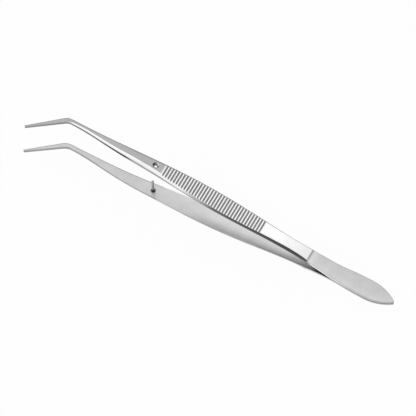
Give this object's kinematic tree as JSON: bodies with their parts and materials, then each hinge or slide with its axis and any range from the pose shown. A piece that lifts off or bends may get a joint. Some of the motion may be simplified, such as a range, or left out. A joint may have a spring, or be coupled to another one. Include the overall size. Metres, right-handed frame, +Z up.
{
  "type": "angled tweezers",
  "caption": "Steel spring tweezers with a flat tail leaf, cross-grooved grips, a guide pin and slender tips turned sideways at an angle.",
  "frame": {"origin": "below the middle of the bounding box, on the surface that the tweezers lie on", "axes": "+X from the tips to the tail, the tips turn towards -Y, +Z up, the way in which the arms open; the tail's point and the front of the lower grip stand on Z = 0"},
  "size_m": [0.1512, 0.0138, 0.0275],
  "materials": {
    "arm_steel": "satin, with polished crests and bright handle ends",
    "pin_steel": "turned, satin"
  },
  "bodies": {
    "root": {"upper_arm": "arm_steel", "lower_arm": "arm_steel", "guide_pin": "pin_steel"}
  },
  "joints": []
}
